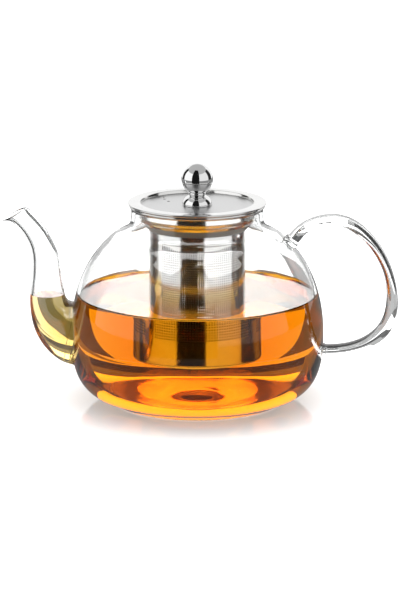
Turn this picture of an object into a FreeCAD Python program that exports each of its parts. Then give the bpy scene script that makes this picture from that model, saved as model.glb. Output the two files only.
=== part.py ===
import FreeCAD, Part
import math
import os

# Glass teapot with a hanging strainer basket and a steel lid.
# Frame: origin at the centre of the flat base, +Z up along the pot's axis,
# the spout towards -X and the handle towards +X. Millimetres.

V = FreeCAD.Vector
os.makedirs("parts", exist_ok=True)

# ---------------------------------------------------------------- dimensions
# glass body
BASE_R = 45.6            # flat foot of the blown body
BELLY_R = 70.0           # widest radius
BELLY_Z = 36.9           # its height
NECK_R = 36.3            # outer radius of the neck
RIM_Z = 109.0            # top of the neck, where the basket hangs
WALL = 2.0               # blown wall
WALL_NECK = 2.2          # neck wall, thicker for the fire-polished rim
WALL_BASE = 2.8          # bottom
RIM_ROUND = 0.9

# spout
SPOUT_ROOT_X = -70.4     # plane where the spout tube meets its weld ring
SPOUT_WALL_ROOT = 2.0
SPOUT_WALL_TIP = 1.4

# handle
HANDLE_HALF_Y = 6.3      # half width of the flattened rod, across the pot
PAD_UP_X, PAD_UP_Z = 51.0, 88.9
PAD_UP_T = 2.3           # the upper pad stands this far off the wall
PAD_LOW_Z = 26.9
PAD_LOW_X = 71.4         # outer face of the lower pad

# strainer basket, all from 0.4 to 0.6 mm steel sheet
FLANGE_R = 37.4          # basket flange, rolled edge
FLANGE_T = 1.9
CUP_R_TOP = 33.0         # outer radius of the cup under the flange
CUP_R_LOW = 31.3
CUP_Z_LOW = 103.3        # where the shoulder starts
SLEEVE_R = 26.5          # outer radius of the strainer tube
SHOULDER_Z = 97.2
SHEET = 0.6
SLEEVE_T = 0.4
SKIRT_IN_Z = 91.1        # lower end of the collar's inner overlap
BASKET_Z = 26.4          # underside of the basket
BASE_CORNER = 2.1
BASE_WALL_TOP = 32.9
WELD_R = 0.7
WELD_PROUD = 0.12
WELD_Z_TOP = 94.9
WELD_Z_LOW = 30.8
WELD_AZ = (-18.5, 101.5, 221.5)

# lid
LID_R = 38.2
LID_Z = 112.1            # top of the polished flange
LID_EDGE_T = 1.2
LID_SHEET = 0.6
RECESS_R = 31.3
RECESS_DEPTH = 2.0
SKIRT_R = 30.3
SKIRT_LOW_Z = 104.3
VENT_R = 0.85
VENTS = ((-18.5, 20.5), (-18.1, 15.2), (-15.9, 9.4))

# knob
BALL_R = 8.8
BALL_Z = 124.8
BELL_R = 8.2
BELL_TOP_Z = 115.6
RING_TOP_Z = 117.6
SCREW_R = 2.0
SCREW_HOLE_R = 2.15
SCREW_HEAD_R = 3.9
SCREW_HEAD_T = 2.2
SCREW_TOP_Z = 123.4
WASHER_R = 5.6
WASHER_T = 0.8


# ------------------------------------------------------------------- helpers
def pt(r, z):
    return V(r, 0, z)


def revolve(edges):
    """Solid of revolution about Z from edges that close a region in the XZ half plane."""
    wire = Part.Wire(edges)
    face = Part.Face(wire)
    solid = face.revolve(V(0, 0, 0), V(0, 0, 1), 360)
    if solid.Volume < 0:
        solid.reverse()
    return solid


def line(a, b):
    return Part.makeLine(pt(*a), pt(*b))


def arc(a, m, b):
    return Part.Arc(pt(*a), pt(*m), pt(*b)).toShape()


def poly(points):
    closed = list(points) + [points[0]]
    return [line(a, b) for a, b in zip(closed[:-1], closed[1:])]


def spline_points(points, t0, t1, per_span=3):
    """Points along the smooth (C2) cubic through `points`, with unit end tangents t0 and t1."""
    n = len(points)
    u = [0.0]
    for a, b in zip(points[:-1], points[1:]):
        u.append(u[-1] + math.hypot(b[0] - a[0], b[1] - a[1]))
    slopes = []
    for axis in (0, 1):
        y = [p[axis] for p in points]
        h = [u[i + 1] - u[i] for i in range(n - 1)]
        a, b, c, d = [0.0] * n, [1.0] * n, [0.0] * n, [0.0] * n
        d[0], d[-1] = t0[axis], t1[axis]
        for i in range(1, n - 1):
            a[i], b[i], c[i] = h[i], 2 * (h[i] + h[i - 1]), h[i - 1]
            d[i] = 3 * (h[i] * (y[i] - y[i - 1]) / h[i - 1] + h[i - 1] * (y[i + 1] - y[i]) / h[i])
        for i in range(1, n):
            m = a[i] / b[i - 1]
            b[i] -= m * c[i - 1]
            d[i] -= m * d[i - 1]
        s = [0.0] * n
        s[-1] = d[-1] / b[-1]
        for i in range(n - 2, -1, -1):
            s[i] = (d[i] - c[i] * s[i + 1]) / b[i]
        slopes.append(s)
    out = []
    for i in range(n - 1):
        h = u[i + 1] - u[i]
        for j in range(per_span):
            t = j / float(per_span)
            h00, h10 = 2 * t ** 3 - 3 * t ** 2 + 1, t ** 3 - 2 * t ** 2 + t
            h01, h11 = -2 * t ** 3 + 3 * t ** 2, t ** 3 - t ** 2
            out.append(tuple(
                h00 * points[i][k] + h10 * h * slopes[k][i] + h01 * points[i + 1][k] + h11 * h * slopes[k][i + 1]
                for k in (0, 1)))
    out.append(tuple(points[-1]))
    return out


def curve(points, t0, t1):
    bs = Part.BSplineCurve()
    bs.approximate(Points=[pt(*p) for p in spline_points(points, t0, t1, 4)],
                   DegMin=3, DegMax=6, Tolerance=0.02, Continuity="C2")
    return bs


def oval(cx, cz, dx, dz, half, half_y, n=24, power=2.0):
    """Closed oval section: `half` along the unit direction (dx, dz) in the XZ plane and `half_y` along Y."""
    pts = []
    for i in range(n):
        a = 2 * math.pi * i / n
        c, s = math.cos(a), math.sin(a)
        k = (abs(c) ** power + abs(s) ** power) ** (-1.0 / power)
        u, w = half * k * c, half_y * k * s
        pts.append(V(cx + dx * u, w, cz + dz * u))
    bs = Part.BSplineCurve()
    bs.interpolate(Points=pts, PeriodicFlag=True, Parameters=[float(i) for i in range(n + 1)])
    return Part.Wire(bs.toShape())


def skin(wires):
    """Closed solid whose side is one smooth surface through the given closed sections."""
    surface = Part.BSplineSurface()
    surface.buildFromNSections([w.Edges[0].Curve for w in wires])
    side = Part.Face(surface.toShape())
    shell = Part.makeShell([side, Part.Face(wires[0]), Part.Face(wires[-1])])
    shell.sewShape()
    solid = Part.Solid(shell)
    if solid.Volume < 0:
        solid.reverse()
    return solid


def export(shape, name):
    if not shape.isValid():
        shape.fix(1e-6, 1e-6, 1e-6)
    print("%-22s valid %s solids %d volume %.2f" % (name, shape.isValid(), len(shape.Solids), shape.Volume))
    shape.exportStep("parts/%s.step" % name)


# ---------------------------------------------------------------- glass body
# outer wall from the foot, round the belly, over the dome and into the neck
OUTER = [
    (BASE_R, 0.0), (49.3, 1.35), (52.8, 3.25), (56.4, 4.8), (59.6, 6.45), (62.2, 8.6),
    (64.65, 11.6), (66.75, 15.4), (68.25, 19.7), (69.35, 24.9), (69.9, 30.7), (BELLY_R, BELLY_Z),
    (69.9, 42.9), (69.35, 49.1), (68.4, 55.1), (67.0, 60.9), (65.05, 66.9),
    (62.6, 72.6), (59.9, 77.7), (57.0, 82.0), (53.7, 86.0), (50.1, 89.7),
    (46.9, 92.8), (43.5, 94.8), (40.1, 96.6), (37.8, 98.9), (36.6, 101.9),
    (NECK_R, 105.5),
]
outer = curve(OUTER, (1.0, 0.0), (0.0, 1.0))


def wall_at(z):
    if z < 14:
        k = z / 14.0
        return WALL_BASE * (1 - k) + WALL * k
    if z > 94:
        k = min(1.0, (z - 94) / 8.0)
        return WALL * (1 - k) + WALL_NECK * k
    return WALL


inner_pts = []
n_in = 34
for i in range(n_in + 1):
    u = outer.FirstParameter + (outer.LastParameter - outer.FirstParameter) * i / n_in
    p = outer.value(u)
    t = outer.tangent(u)[0]
    nx, nz = -t.z, t.x            # to the left of the curve, which is inside the pot
    w = wall_at(p.z)
    inner_pts.append((p.x + nx * w, p.z + nz * w))
inner_pts[0] = (BASE_R, WALL_BASE)
inner_pts[-1] = (NECK_R - WALL_NECK, 105.5)
inner = curve(inner_pts, (1.0, 0.0), (0.0, 1.0))

ri, ro, q = NECK_R - WALL_NECK, NECK_R, RIM_ROUND
d = q * (1 - math.sqrt(0.5))
body_edges = [
    line((0, 0), (BASE_R, 0)),
    outer.toShape(),
    line((ro, 105.5), (ro, RIM_Z - q)),
    arc((ro, RIM_Z - q), (ro - d, RIM_Z - d), (ro - q, RIM_Z)),
    line((ro - q, RIM_Z), (ri + q, RIM_Z)),
    arc((ri + q, RIM_Z), (ri + d, RIM_Z - d), (ri, RIM_Z - q)),
    line((ri, RIM_Z - q), (ri, 105.5)),
    inner.toShape(),
    line((BASE_R, WALL_BASE), (0, WALL_BASE)),
    line((0, WALL_BASE), (0, 0)),
]
body_shell = revolve(body_edges)
# the same outer form with no hollow, used to trim what is fused to it
body_full = revolve([
    line((0, 0), (BASE_R, 0)), outer.toShape(), line((ro, 105.5), (ro, RIM_Z)),
    line((ro, RIM_Z), (0, RIM_Z)), line((0, RIM_Z), (0, 0)),
])

# --------------------------------------------------------------------- spout
# each station: low/outer point, high/inner point of the tube in the XZ plane, half width in Y
SPOUT = [
    ((-58.0, 19.5), (-58.0, 55.3), 18.1),
    ((-68.5, 19.7), (-70.3, 55.5), 18.1),
    ((-75.4, 22.1), (-72.2, 56.9), 17.0),
    ((-81.5, 26.6), (-73.0, 58.7), 15.3),
    ((-87.0, 33.5), (-73.4, 60.5), 13.5),
    ((-90.9, 42.6), (-73.6, 62.5), 11.9),
    ((-92.3, 50.9), (-73.7, 64.3), 10.8),
    ((-92.5, 57.9), (-73.8, 66.3), 9.9),
    ((-91.9, 64.9), (-74.1, 68.9), 9.1),
    ((-91.2, 72.3), (-74.6, 73.2), 8.4),
    ((-91.1, 80.6), (-76.1, 82.7), 7.6),
    ((-92.2, 86.6), (-79.4, 90.2), 6.8),
    ((-94.2, 91.3), (-83.3, 97.5), 6.3),
    ((-98.6, 97.6), (-89.9, 105.9), 6.05),
    ((-103.4, 101.2), (-92.4, 107.9), 5.95),
    ((-108.0, 101.2), (-94.6, 108.8), 5.85),
]


def spout_wires(shrink):
    wires = []
    last = len(SPOUT) - 1
    for i, (lo, hi, hy) in enumerate(SPOUT):
        cx, cz = (lo[0] + hi[0]) / 2, (lo[1] + hi[1]) / 2
        dx, dz = hi[0] - lo[0], hi[1] - lo[1]
        full = math.hypot(dx, dz)
        k = i / float(last)
        w = (SPOUT_WALL_ROOT * (1 - k) + SPOUT_WALL_TIP * k) if shrink else 0.0
        wires.append((cx, cz, dx / full, dz / full, full / 2 - w, hy - w))
    return wires


outer_w = spout_wires(False)
inner_w = spout_wires(True)
# the bore runs past the mouth so that it opens it cleanly
cx, cz, dx, dz, h, hy = inner_w[-1]
inner_w.append((cx - dz * 3.0, cz + dx * 3.0, dx, dz, h + 0.2, hy + 0.2))
spout_outer = skin([oval(*w) for w in outer_w])
spout_bore = skin([oval(*w) for w in inner_w])

glass_body = body_shell.cut(spout_bore)
tube = spout_outer.cut(body_full).cut(spout_bore)
tube = max(tube.Solids, key=lambda s: s.Volume)
root_box = Part.makeBox(60, 80, 80, V(SPOUT_ROOT_X, -40, 0))
spout_weld = tube.common(root_box)
spout = tube.cut(root_box)

# -------------------------------------------------------------------- handle
# centre line (x, z) and half thickness in the plane of the handle
HANDLE = [
    (56.8, 95.3, 3.25), (62.3, 98.8, 3.35), (69.3, 101.1, 3.3), (76.8, 101.5, 3.25),
    (84.4, 99.3, 3.15), (91.0, 94.7, 3.0), (96.7, 88.7, 2.8), (101.4, 81.5, 2.65),
    (104.8, 73.9, 2.6), (106.8, 66.7, 2.75), (107.8, 59.5, 3.05), (107.8, 52.9, 3.4),
    (106.7, 46.5, 3.6), (103.9, 40.5, 3.7), (99.3, 35.3, 3.75), (93.2, 31.2, 3.8),
    (86.2, 28.6, 3.8), (79.0, 27.3, 3.8),
]
# normal of the wall at the upper pad
PAD_N = (0.69, 0.724)
pad_face = (PAD_UP_X + PAD_N[0] * PAD_UP_T, PAD_UP_Z + PAD_N[1] * PAD_UP_T)
wires = [oval(pad_face[0], pad_face[1], -PAD_N[1], PAD_N[0], 3.45, HANDLE_HALF_Y)]
cl = [pad_face] + [(h[0], h[1]) for h in HANDLE] + [(PAD_LOW_X, PAD_LOW_Z)]
for i, (x, z, b) in enumerate(HANDLE):
    tx, tz = cl[i + 2][0] - cl[i][0], cl[i + 2][1] - cl[i][1]
    n = math.hypot(tx, tz)
    tx, tz = tx / n, tz / n
    wires.append(oval(x, z, -tz, tx, b, HANDLE_HALF_Y, power=2.15))
wires.append(oval(PAD_LOW_X, PAD_LOW_Z, 0.0, -1.0, 3.9, HANDLE_HALF_Y + 0.2))
handle = skin(wires)

# the pads where the hot handle was pressed onto the wall
def pad(cx, cz, nx, nz, depth, half, half_y):
    a = oval(cx - nx * depth, cz - nz * depth, -nz, nx, half, half_y)
    b = oval(cx, cz, -nz, nx, half, half_y)
    solid = Part.makeLoft([a, b], True, True)
    return solid.cut(body_full)


handle_upper_pad = pad(pad_face[0], pad_face[1], PAD_N[0], PAD_N[1], 6.0, 4.35, 7.2)
handle_lower_pad = pad(PAD_LOW_X, PAD_LOW_Z, 1.0, 0.0, 6.0, 4.5, 7.2)

# ------------------------------------------------------------ strainer basket
top = RIM_Z + FLANGE_T
ro_ = FLANGE_T / 2
collar_edges = []
fl = FLANGE_R - ro_
collar_pts = [
    ("l", (CUP_R_TOP, RIM_Z), (fl, RIM_Z)),
    ("a", (fl, RIM_Z), (FLANGE_R, RIM_Z + ro_), (fl, top)),
    ("l", (fl, top), (CUP_R_TOP - SHEET, top)),
    ("l", (CUP_R_TOP - SHEET, top), (CUP_R_LOW - SHEET, CUP_Z_LOW + 0.25)),
    ("l", (CUP_R_LOW - SHEET, CUP_Z_LOW + 0.25), (SLEEVE_R - SLEEVE_T - 0.4, SHOULDER_Z - 0.1)),
    ("l", (SLEEVE_R - SLEEVE_T - 0.4, SHOULDER_Z - 0.1), (SLEEVE_R - SLEEVE_T - 0.4, SKIRT_IN_Z)),
    ("l", (SLEEVE_R - SLEEVE_T - 0.4, SKIRT_IN_Z), (SLEEVE_R - SLEEVE_T, SKIRT_IN_Z)),
    ("l", (SLEEVE_R - SLEEVE_T, SKIRT_IN_Z), (SLEEVE_R - SLEEVE_T, SHOULDER_Z)),
    ("l", (SLEEVE_R - SLEEVE_T, SHOULDER_Z), (SLEEVE_R, SHOULDER_Z)),
    ("l", (SLEEVE_R, SHOULDER_Z), (CUP_R_LOW, CUP_Z_LOW)),
    ("l", (CUP_R_LOW, CUP_Z_LOW), (CUP_R_TOP, RIM_Z)),
]
for e in collar_pts:
    collar_edges.append(line(e[1], e[2]) if e[0] == "l" else arc(e[1], e[2], e[3]))
basket_collar = revolve(collar_edges)

SLEEVE_LOW = BASKET_Z + BASE_CORNER
basket_sleeve = revolve(poly([
    (SLEEVE_R - SLEEVE_T, SLEEVE_LOW), (SLEEVE_R, SLEEVE_LOW),
    (SLEEVE_R, SHOULDER_Z), (SLEEVE_R - SLEEVE_T, SHOULDER_Z),
]))

c = BASE_CORNER
ci = c - SLEEVE_T
cxr, czr = SLEEVE_R - c, BASKET_Z + c
k = math.sqrt(0.5)
ir = SLEEVE_R - 2 * SLEEVE_T
basket_base = revolve([
    line((0, BASKET_Z), (cxr, BASKET_Z)),
    arc((cxr, BASKET_Z), (cxr + c * k, czr - c * k), (SLEEVE_R, czr)),
    line((SLEEVE_R, czr), (SLEEVE_R - SLEEVE_T, czr)),
    line((SLEEVE_R - SLEEVE_T, czr), (SLEEVE_R - SLEEVE_T, BASE_WALL_TOP)),
    line((SLEEVE_R - SLEEVE_T, BASE_WALL_TOP), (ir, BASE_WALL_TOP)),
    line((ir, BASE_WALL_TOP), (ir, czr)),
    arc((ir, czr), (ir - (ci) * (1 - k), czr - ci * k), (ir - ci, czr - ci)),
    line((ir - ci, czr - ci), (0, czr - ci)),
    line((0, czr - ci), (0, BASKET_Z)),
])


def weld_spots(z, azimuths):
    ring = Part.makeCylinder(SLEEVE_R + WELD_PROUD, 4, V(0, 0, z - 2)).cut(
        Part.makeCylinder(SLEEVE_R, 4, V(0, 0, z - 2)))
    spots = []
    for a in azimuths:
        # azimuth from the front of the pot, positive towards the handle
        dx_, dy_ = math.sin(math.radians(a)), -math.cos(math.radians(a))
        cyl = Part.makeCylinder(WELD_R, 8, V(dx_ * (SLEEVE_R - 4), dy_ * (SLEEVE_R - 4), z), V(dx_, dy_, 0))
        spots.extend(cyl.common(ring).Solids)
    return spots


collar_spot_welds = Part.makeCompound(weld_spots(WELD_Z_TOP, WELD_AZ))
base_spot_welds = Part.makeCompound(weld_spots(WELD_Z_LOW, WELD_AZ))

# ----------------------------------------------------------------------- lid
e = LID_EDGE_T / 2
er = LID_R - e
zr = LID_Z - RECESS_DEPTH
lid_edges = [
    line((SCREW_HOLE_R, zr), (RECESS_R - 0.5, zr)),
    line((RECESS_R - 0.5, zr), (RECESS_R, LID_Z - 0.35)),
    arc((RECESS_R, LID_Z - 0.35), (RECESS_R + 0.12, LID_Z - 0.1), (RECESS_R + 0.4, LID_Z)),
    line((RECESS_R + 0.4, LID_Z), (er, LID_Z)),
    arc((er, LID_Z), (LID_R, LID_Z - e), (er, LID_Z - LID_EDGE_T)),
    line((er, LID_Z - LID_EDGE_T), (35.4, LID_Z - LID_EDGE_T)),
    line((35.4, LID_Z - LID_EDGE_T), (35.4, LID_Z - LID_SHEET)),
    line((35.4, LID_Z - LID_SHEET), (RECESS_R + 0.6, LID_Z - LID_SHEET)),
    line((RECESS_R + 0.6, LID_Z - LID_SHEET), (RECESS_R + 0.1, zr - LID_SHEET)),
    line((RECESS_R + 0.1, zr - LID_SHEET), (SCREW_HOLE_R, zr - LID_SHEET)),
    line((SCREW_HOLE_R, zr - LID_SHEET), (SCREW_HOLE_R, zr)),
]
lid_plate = revolve(lid_edges)
for x, y in VENTS:
    lid_plate = lid_plate.cut(Part.makeCylinder(VENT_R, 6, V(x, y, LID_Z - 5)))

zu = zr - LID_SHEET
lid_skirt = revolve(poly([
    (SKIRT_R - 3.0, zu), (SKIRT_R - 3.0, zu - SHEET), (SKIRT_R - SHEET, zu - SHEET),
    (SKIRT_R - SHEET, SKIRT_LOW_Z), (SKIRT_R, SKIRT_LOW_Z), (SKIRT_R, zu),
]))

# ---------------------------------------------------------------------- knob
knob_bell = revolve([
    line((SCREW_HOLE_R, zr), (BELL_R - 0.5, zr)),
    arc((BELL_R - 0.5, zr), (BELL_R - 0.146, zr + 0.146), (BELL_R, zr + 0.5)),
    line((BELL_R, zr + 0.5), (BELL_R, zr + 1.0)),
    arc((BELL_R, zr + 1.0), (7.35, zr + 3.2), (4.3, BELL_TOP_Z)),
    line((4.3, BELL_TOP_Z), (SCREW_HOLE_R, BELL_TOP_Z)),
    line((SCREW_HOLE_R, BELL_TOP_Z), (SCREW_HOLE_R, zr)),
])
zm = (BELL_TOP_Z + RING_TOP_Z) / 2
knob_collar = revolve([
    line((SCREW_HOLE_R, BELL_TOP_Z), (4.2, BELL_TOP_Z)),
    arc((4.2, BELL_TOP_Z), (4.75, zm), (4.2, RING_TOP_Z)),
    line((4.2, RING_TOP_Z), (SCREW_HOLE_R, RING_TOP_Z)),
    line((SCREW_HOLE_R, RING_TOP_Z), (SCREW_HOLE_R, BELL_TOP_Z)),
])
knob_ball = Part.makeSphere(BALL_R, V(0, 0, BALL_Z))
knob_ball = knob_ball.cut(Part.makeCylinder(20, 20, V(0, 0, RING_TOP_Z - 20)))
knob_ball = knob_ball.cut(Part.makeCylinder(SCREW_R, SCREW_TOP_Z - RING_TOP_Z + 0.5, V(0, 0, RING_TOP_Z)))
head_top = zu - WASHER_T
knob_washer = Part.makeCylinder(WASHER_R, WASHER_T, V(0, 0, head_top)).cut(
    Part.makeCylinder(SCREW_HOLE_R, WASHER_T, V(0, 0, head_top)))
hz = head_top - SCREW_HEAD_T
knob_screw = revolve([
    line((0, hz), (2.9, hz)),
    arc((2.9, hz), (SCREW_HEAD_R - 0.27, hz + 0.55), (SCREW_HEAD_R, hz + 1.3)),
    line((SCREW_HEAD_R, hz + 1.3), (SCREW_HEAD_R, head_top)),
    line((SCREW_HEAD_R, head_top), (SCREW_R, head_top)),
    line((SCREW_R, head_top), (SCREW_R, SCREW_TOP_Z)),
    line((SCREW_R, SCREW_TOP_Z), (0, SCREW_TOP_Z)),
    line((0, SCREW_TOP_Z), (0, hz)),
])
# cross recess in the screw head
for w, l in ((0.9, 4.0), (4.0, 0.9)):
    knob_screw = knob_screw.cut(Part.makeBox(w, l, 1.3, V(-w / 2, -l / 2, hz - 0.2)))

# -------------------------------------------------------------------- export
export(glass_body, "glass_body")
export(spout, "spout")
export(spout_weld, "spout_weld_ring")
export(handle, "handle")
export(handle_upper_pad, "handle_upper_pad")
export(handle_lower_pad, "handle_lower_pad")
export(basket_collar, "basket_collar")
export(basket_sleeve, "basket_sleeve")
export(basket_base, "basket_base")
export(collar_spot_welds, "collar_spot_welds")
export(base_spot_welds, "base_spot_welds")
export(lid_plate, "lid_plate")
export(lid_skirt, "lid_skirt")
export(knob_bell, "knob_bell")
export(knob_collar, "knob_collar")
export(knob_ball, "knob_ball")
export(knob_washer, "knob_washer")
export(knob_screw, "knob_screw")
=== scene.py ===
import math

import bmesh
import bpy
import numpy as np
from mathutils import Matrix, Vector


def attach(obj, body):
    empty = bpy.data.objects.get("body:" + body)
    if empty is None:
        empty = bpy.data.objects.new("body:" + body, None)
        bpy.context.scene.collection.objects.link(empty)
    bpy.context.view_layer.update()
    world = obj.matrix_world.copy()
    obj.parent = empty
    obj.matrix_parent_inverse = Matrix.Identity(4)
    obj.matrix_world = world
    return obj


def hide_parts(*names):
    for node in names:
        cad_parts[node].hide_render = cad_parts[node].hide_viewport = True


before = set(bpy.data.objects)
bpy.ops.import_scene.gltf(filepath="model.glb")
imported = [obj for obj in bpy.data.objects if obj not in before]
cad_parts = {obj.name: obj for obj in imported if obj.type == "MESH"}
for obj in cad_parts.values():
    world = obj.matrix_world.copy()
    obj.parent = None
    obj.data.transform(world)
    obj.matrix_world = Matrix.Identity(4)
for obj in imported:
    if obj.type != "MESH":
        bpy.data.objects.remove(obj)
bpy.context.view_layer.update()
scene = bpy.context.scene
MM = 0.001

# ------------------------------------------------------------------ the form
# the CAD model's own numbers, in millimetres
BASE_R, NECK_R, RIM_Z = 45.6, 36.3, 109.0
WALL, WALL_NECK, WALL_BASE, RIM_ROUND = 2.0, 2.2, 2.8, 0.9
OUTER = [
    (45.6, 0.0), (49.3, 1.35), (52.8, 3.25), (56.4, 4.8), (59.6, 6.45), (62.2, 8.6),
    (64.65, 11.6), (66.75, 15.4), (68.25, 19.7), (69.35, 24.9), (69.9, 30.7), (70.0, 36.9),
    (69.9, 42.9), (69.35, 49.1), (68.4, 55.1), (67.0, 60.9), (65.05, 66.9),
    (62.6, 72.6), (59.9, 77.7), (57.0, 82.0), (53.7, 86.0), (50.1, 89.7),
    (46.9, 92.8), (43.5, 94.8), (40.1, 96.6), (37.8, 98.9), (36.6, 101.9), (36.3, 105.5),
]
SPOUT_ROOT_X, SPOUT_WALL_ROOT, SPOUT_WALL_TIP = -70.4, 2.0, 1.4
SPOUT = [
    ((-58.0, 19.5), (-58.0, 55.3), 18.1), ((-68.5, 19.7), (-70.3, 55.5), 18.1),
    ((-75.4, 22.1), (-72.2, 56.9), 17.0), ((-81.5, 26.6), (-73.0, 58.7), 15.3),
    ((-87.0, 33.5), (-73.4, 60.5), 13.5), ((-90.9, 42.6), (-73.6, 62.5), 11.9),
    ((-92.3, 50.9), (-73.7, 64.3), 10.8), ((-92.5, 57.9), (-73.8, 66.3), 9.9),
    ((-91.9, 64.9), (-74.1, 68.9), 9.1), ((-91.2, 72.3), (-74.6, 73.2), 8.4),
    ((-91.1, 80.6), (-76.1, 82.7), 7.6), ((-92.2, 86.6), (-79.4, 90.2), 6.8),
    ((-94.2, 91.3), (-83.3, 97.5), 6.3), ((-98.6, 97.6), (-89.9, 105.9), 6.05),
    ((-103.4, 101.2), (-92.4, 107.9), 5.95), ((-108.0, 101.2), (-94.6, 108.8), 5.85),
]
HANDLE_HALF_Y = 6.3
PAD_UP, PAD_UP_T, PAD_N = (51.0, 88.9), 2.3, (0.69, 0.724)
PAD_LOW_X, PAD_LOW_Z = 71.4, 26.9
HANDLE = [
    (56.8, 95.3, 3.25), (62.3, 98.8, 3.35), (69.3, 101.1, 3.3), (76.8, 101.5, 3.25),
    (84.4, 99.3, 3.15), (91.0, 94.7, 3.0), (96.7, 88.7, 2.8), (101.4, 81.5, 2.65),
    (104.8, 73.9, 2.6), (106.8, 66.7, 2.75), (107.8, 59.5, 3.05), (107.8, 52.9, 3.4),
    (106.7, 46.5, 3.6), (103.9, 40.5, 3.7), (99.3, 35.3, 3.75), (93.2, 31.2, 3.8),
    (86.2, 28.6, 3.8), (79.0, 27.3, 3.8),
]
SLEEVE_R, SLEEVE_T, SHEET = 26.5, 0.4, 0.6
SHOULDER_Z, SKIRT_IN_Z = 97.2, 91.1
CUP_R_TOP, CUP_R_LOW, CUP_Z_LOW = 33.0, 31.3, 103.3
FLANGE_R, FLANGE_T = 37.4, 1.9
BASKET_Z, BASE_CORNER, BASE_WALL_TOP = 26.4, 2.1, 32.9
WELD_AZ, WELD_R, WELD_PROUD, WELD_Z_TOP, WELD_Z_LOW = (-18.5, 101.5, 221.5), 0.7, 0.12, 94.9, 30.8
LID_R, LID_Z, LID_EDGE_T, LID_SHEET = 38.2, 112.1, 1.2, 0.6
RECESS_R, RECESS_DEPTH = 31.3, 2.0
VENT_R, VENTS = 0.85, ((-18.5, 20.5), (-18.1, 15.2), (-15.9, 9.4))
BALL_R, BALL_Z, BELL_R, BELL_TOP_Z, RING_TOP_Z = 8.8, 124.8, 8.2, 115.6, 117.6
TEA_Z = 59.7
LAP = 0.2          # how far fused glass pieces reach into each other


# ------------------------------------------------------------------- helpers
def spline(points, per_span, t0=None, t1=None):
    """Rows along the smooth cubic through the rows of `points`; chords are measured on the first two columns."""
    P = np.array(points, float)
    n = len(P)
    u = np.concatenate([[0.0], np.cumsum(np.linalg.norm(np.diff(P[:, :2], axis=0), axis=1))])
    h = np.diff(u)
    A, D = np.zeros((n, n)), np.zeros_like(P)
    for i in range(1, n - 1):
        A[i, i - 1], A[i, i], A[i, i + 1] = h[i], 2 * (h[i] + h[i - 1]), h[i - 1]
        D[i] = 3 * (h[i] * (P[i] - P[i - 1]) / h[i - 1] + h[i - 1] * (P[i + 1] - P[i]) / h[i])
    if t0 is None:
        A[0, 0], A[0, 1], D[0] = 2, 1, 3 * (P[1] - P[0]) / h[0]
    else:
        A[0, 0], D[0] = 1, t0
    if t1 is None:
        A[-1, -1], A[-1, -2], D[-1] = 2, 1, 3 * (P[-1] - P[-2]) / h[-1]
    else:
        A[-1, -1], D[-1] = 1, t1
    S = np.linalg.solve(A, D)
    out = []
    for i in range(n - 1):
        for j in range(per_span):
            t = j / per_span
            out.append(
                (2 * t**3 - 3 * t**2 + 1) * P[i] + (t**3 - 2 * t**2 + t) * h[i] * S[i]
                + (-2 * t**3 + 3 * t**2) * P[i + 1] + (t**3 - t**2) * h[i] * S[i + 1])
    out.append(P[-1])
    return np.array(out)


def finish_mesh(ob, angle=32):
    me = ob.data
    bm = bmesh.new()
    bm.from_mesh(me)
    bmesh.ops.remove_doubles(bm, verts=bm.verts, dist=1e-7)
    bmesh.ops.recalc_face_normals(bm, faces=bm.faces)
    if bm.faces and bm.calc_volume(signed=True) < 0:
        bmesh.ops.reverse_faces(bm, faces=bm.faces)
    bm.to_mesh(me)
    bm.free()
    me.polygons.foreach_set("use_smooth", [True] * len(me.polygons))
    me.set_sharp_from_angle(angle=math.radians(angle))
    me.update()
    return ob


def mesh_object(name, verts, faces, angle=32):
    me = bpy.data.meshes.new(name)
    me.from_pydata([(x * MM, y * MM, z * MM) for x, y, z in verts], [], faces)
    ob = bpy.data.objects.new(name, me)
    scene.collection.objects.link(ob)
    return finish_mesh(ob, angle)


def lathe(name, profile, seg=192, closed=True, angle=32):
    """Surface of revolution about Z of a run of (r, z). Points with r = 0 become poles."""
    verts, rings = [], []
    for r, z in profile:
        if r < 1e-6:
            verts.append((0.0, 0.0, z))
            rings.append([len(verts) - 1])
        else:
            first = len(verts)
            for i in range(seg):
                a = 2 * math.pi * i / seg
                verts.append((r * math.cos(a), r * math.sin(a), z))
            rings.append(list(range(first, first + seg)))
    faces = []
    pairs = list(zip(rings[:-1], rings[1:]))
    if closed:
        pairs.append((rings[-1], rings[0]))
    for a, b in pairs:
        if len(a) == 1 and len(b) == 1:
            continue
        for i in range(seg):
            j = (i + 1) % seg
            if len(a) == 1:
                faces.append((a[0], b[j], b[i]))
            elif len(b) == 1:
                faces.append((a[i], a[j], b[0]))
            else:
                faces.append((a[i], a[j], b[j], b[i]))
    return mesh_object(name, verts, faces, angle)


def rounded(corners, steps=4):
    """Corners (r, z, fillet) of a profile as points, with each corner rounded by its own fillet."""
    out = []
    n = len(corners)
    for i, (x, z, f) in enumerate(corners):
        p = Vector((x, z))
        if f <= 0:
            out.append((x, z))
            continue
        a = (Vector(corners[i - 1][:2]) - p).normalized()
        b = (Vector(corners[(i + 1) % n][:2]) - p).normalized()
        half = a.angle(b) / 2
        cut = f / math.tan(half)
        centre = p + (a + b).normalized() * (f / math.sin(half))
        s, e = p + a * cut - centre, p + b * cut - centre
        for k in range(steps + 1):
            v = s.lerp(e, k / steps)
            v = v.normalized() * f if v.length > 1e-9 else v
            out.append(tuple(centre + v))
    return out


def oval_rows(rows, n=64, power=2.0):
    """Rings of points from rows (cx, cz, dx, dz, half, half_y)."""
    rings = []
    for cx, cz, dx, dz, half, hy in rows:
        ring = []
        for i in range(n):
            a = 2 * math.pi * i / n
            c, s = math.cos(a), math.sin(a)
            k = (abs(c) ** power + abs(s) ** power) ** (-1.0 / power)
            ring.append((cx + dx * half * k * c, hy * k * s, cz + dz * half * k * c))
        rings.append(ring)
    return rings


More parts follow.
